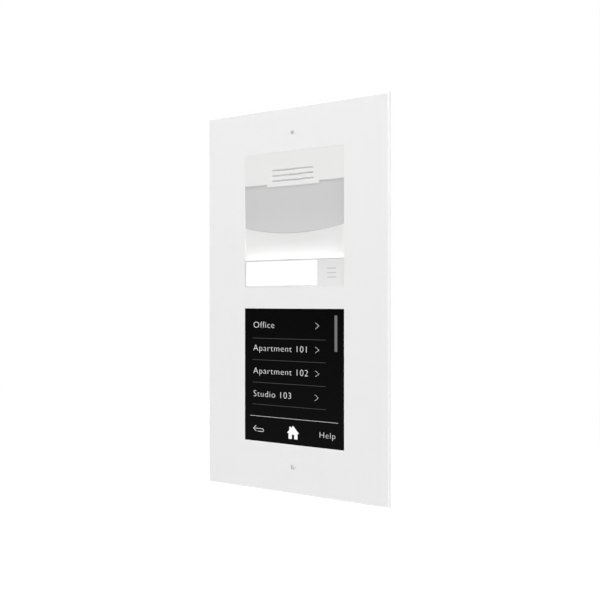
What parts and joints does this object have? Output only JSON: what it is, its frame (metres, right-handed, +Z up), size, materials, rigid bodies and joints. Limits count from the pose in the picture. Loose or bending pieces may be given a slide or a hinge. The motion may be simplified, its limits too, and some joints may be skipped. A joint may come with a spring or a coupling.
{
  "type": "video door station",
  "caption": "Flush-mounted video door station: white cover plate over a camera and call-key module and a black glass touch display, with its wall box.",
  "frame": {"origin": "middle of the cover plate's back face, on the wall's surface", "axes": "-Y is the front that a visitor faces, +Y goes into the wall, +Z is up and +X is to the visitor's right"},
  "size_m": [0.168, 0.0525, 0.328],
  "materials": {
    "plate_white": "white satin powder coat on an aluminium casting",
    "screw_white": "white coated steel",
    "black_foam": "closed-cell foam",
    "zinc_steel": "zinc-plated sheet",
    "screw_steel": "zinc-plated",
    "spring_steel": "drawn spring wire",
    "box_grey": "moulded, fine texture",
    "housing_black": "moulded, fine texture",
    "chassis_grey": "moulded",
    "cover_white": "moulded satin",
    "key_grey": "moulded satin, light grey",
    "mesh_grey": "woven dust mesh",
    "cone_film": "pressed film",
    "magnet_nickel": "nickel-plated",
    "window_grey": "tinted polycarbonate, polished",
    "board_green": "solder mask",
    "lens_glass": "coated glass",
    "chip_black": "chip package",
    "led_white": "phosphor lens",
    "boot_rubber": "moulded rubber",
    "name_window_clear": "clear polycarbonate",
    "label_white": "blank printed film",
    "diffuser_white": "opal acrylic",
    "plunger_red": "moulded",
    "terminal_green": "moulded",
    "display_glass": "black-backed cover glass",
    "lcd_black": "polarised panel",
    "flex_amber": "polyimide film",
    "connector_white": "moulded",
    "ribbon_grey": "flat ribbon cable"
  },
  "bodies": {
    "station": {"cover_plate": "plate_white", "wall_seal": "black_foam", "security_screws": "screw_white", "module_seals": "black_foam", "carrier_frame": "zinc_steel", "carrier_screws": "screw_steel", "wall_box": "box_grey", "camera_module_housing": "housing_black", "camera_chassis": "chassis_grey", "camera_chassis_screws": "screw_steel", "speaker_cover": "cover_white", "speaker_mesh": "mesh_grey", "speaker_gasket": "black_foam", "speaker_frame": "housing_black", "speaker_cone": "cone_film", "speaker_magnet": "magnet_nickel", "camera_window": "window_grey", "camera_fairing": "cover_white", "camera_board": "board_green", "camera_board_screws": "screw_steel", "lens_holder": "housing_black", "lens_barrel": "housing_black", "lens_glass": "lens_glass", "image_sensor": "chip_black", "night_light_leds": "led_white", "microphone": "magnet_nickel", "microphone_boot": "boot_rubber", "key_pivot_pin": "screw_steel", "key_return_spring": "spring_steel", "key_board": "board_green", "key_leds": "led_white", "key_switch_body": "housing_black", "main_board": "board_green", "main_board_screws": "screw_steel", "terminal_block": "terminal_green", "terminal_screws": "screw_steel", "display_module_housing": "housing_black", "display_glass": "display_glass", "glass_tape": "black_foam", "display_bezel": "housing_black", "lcd_panel": "lcd_black", "backlight_unit": "diffuser_white", "lcd_tray": "zinc_steel", "display_chassis": "chassis_grey", "display_chassis_screws": "screw_steel", "display_flex": "flex_amber", "display_board": "board_green", "display_board_screws": "screw_steel", "link_connectors": "connector_white", "link_cable": "ribbon_grey"},
    "key": {"call_key": "key_grey", "nameplate_window": "name_window_clear", "name_label": "label_white", "label_diffuser": "diffuser_white"},
    "plunger": {"key_switch_plunger": "plunger_red"}
  },
  "joints": [
    {"name": "call_key_hinge", "type": "hinge", "parent": "station", "child": "key", "pos_m": [-0.0415, 0.0029, 0.0228], "axis": [0, 0, 1], "range_deg": [0, 1], "stiffness_Nm_per_rad": 2, "springref_deg": -2.86, "deforming": ["key_return_spring"]},
    {"name": "switch_plunger_slide", "type": "slide", "parent": "station", "child": "plunger", "axis": [0, 1, 0], "range_m": [0, 0.0013]}
  ],
  "couplings": [
    {"joint": "switch_plunger_slide", "follows": "call_key_hinge", "m_per_rad": 0.0675}
  ]
}
